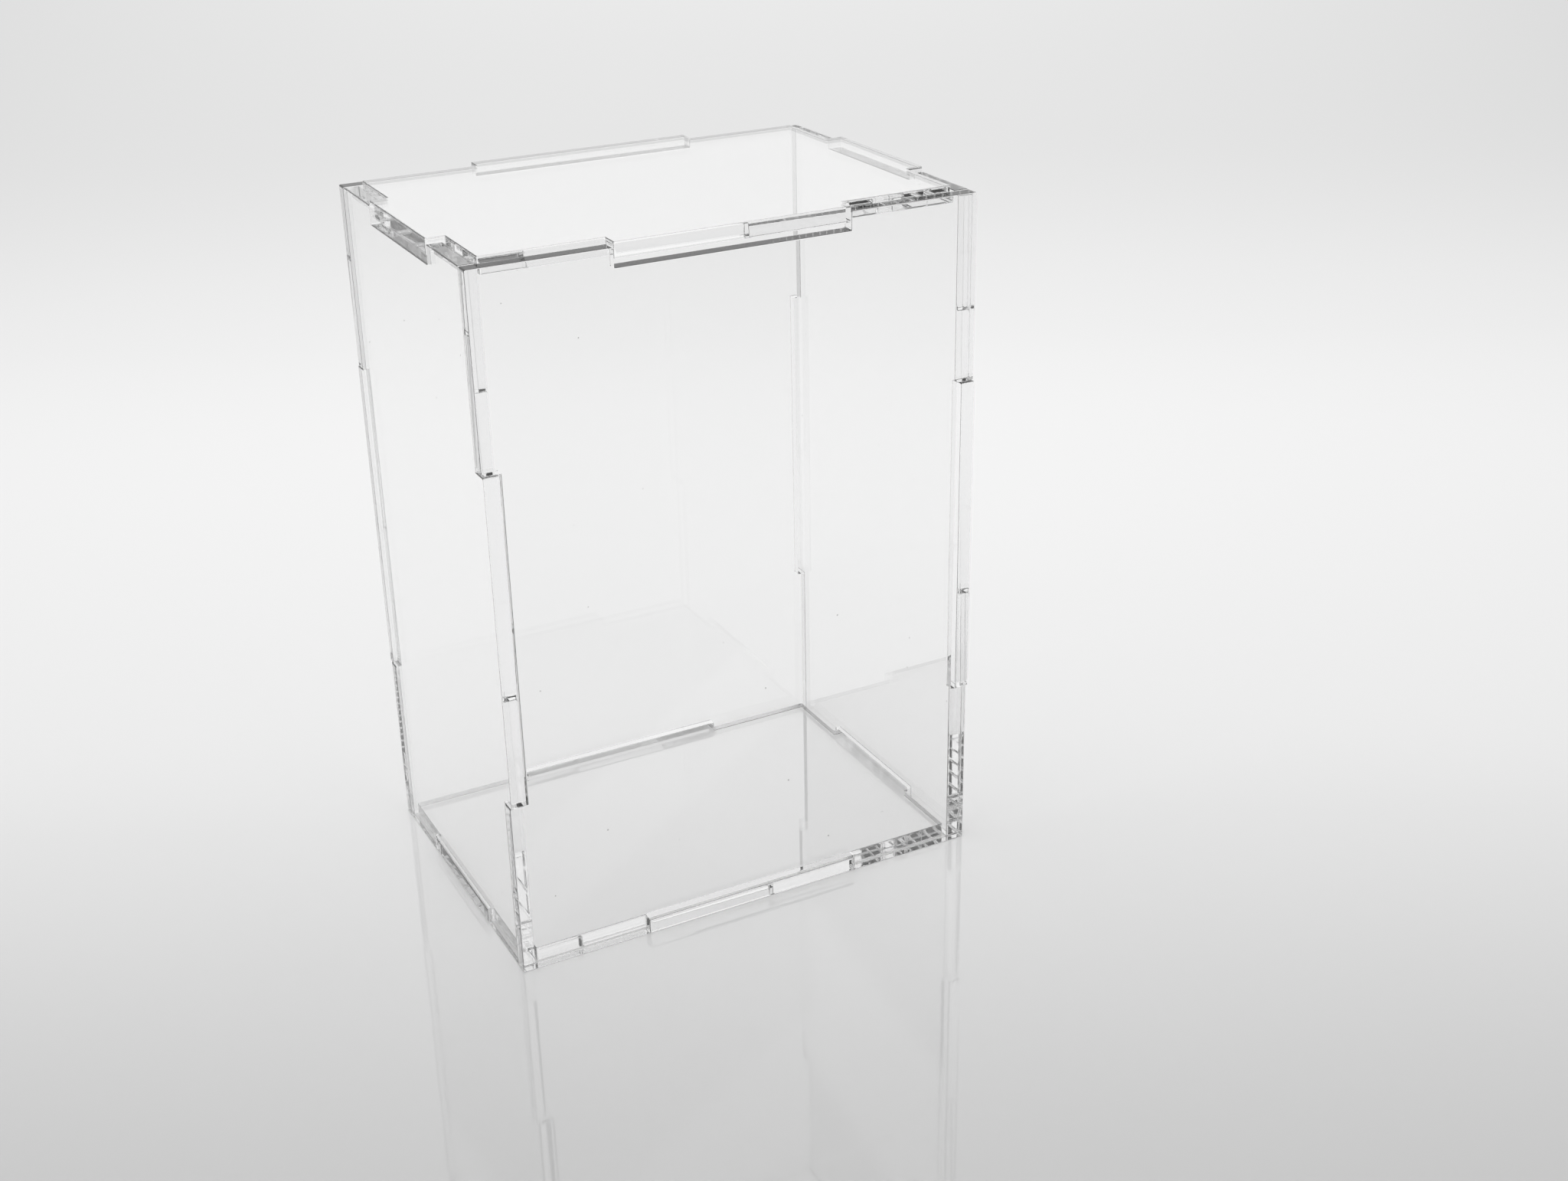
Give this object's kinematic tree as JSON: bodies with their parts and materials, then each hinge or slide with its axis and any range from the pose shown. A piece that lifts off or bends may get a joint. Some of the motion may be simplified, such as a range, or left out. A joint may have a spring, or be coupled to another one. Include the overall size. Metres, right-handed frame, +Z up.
{
  "type": "acrylic display case",
  "caption": "Tall clear acrylic display case of laser-cut sheets that slot together with fingers, with a lift-off lid.",
  "frame": {"origin": "centre of the underside, on the surface the case stands on", "axes": "+Z up, +X to the right along the wide front, -Y out of the front wall"},
  "size_m": [0.1, 0.0712, 0.14],
  "materials": {
    "clear_acrylic": "clear, gloss"
  },
  "bodies": {
    "case": {"base": "clear_acrylic", "front_wall": "clear_acrylic", "back_wall": "clear_acrylic", "left_wall": "clear_acrylic", "right_wall": "clear_acrylic"},
    "lid": {"lid": "clear_acrylic"}
  },
  "joints": [
    {"name": "lid_lift", "type": "slide", "parent": "case", "child": "lid", "axis": [0, 0, 1], "range_m": [-0.0016, 0.08]}
  ]
}
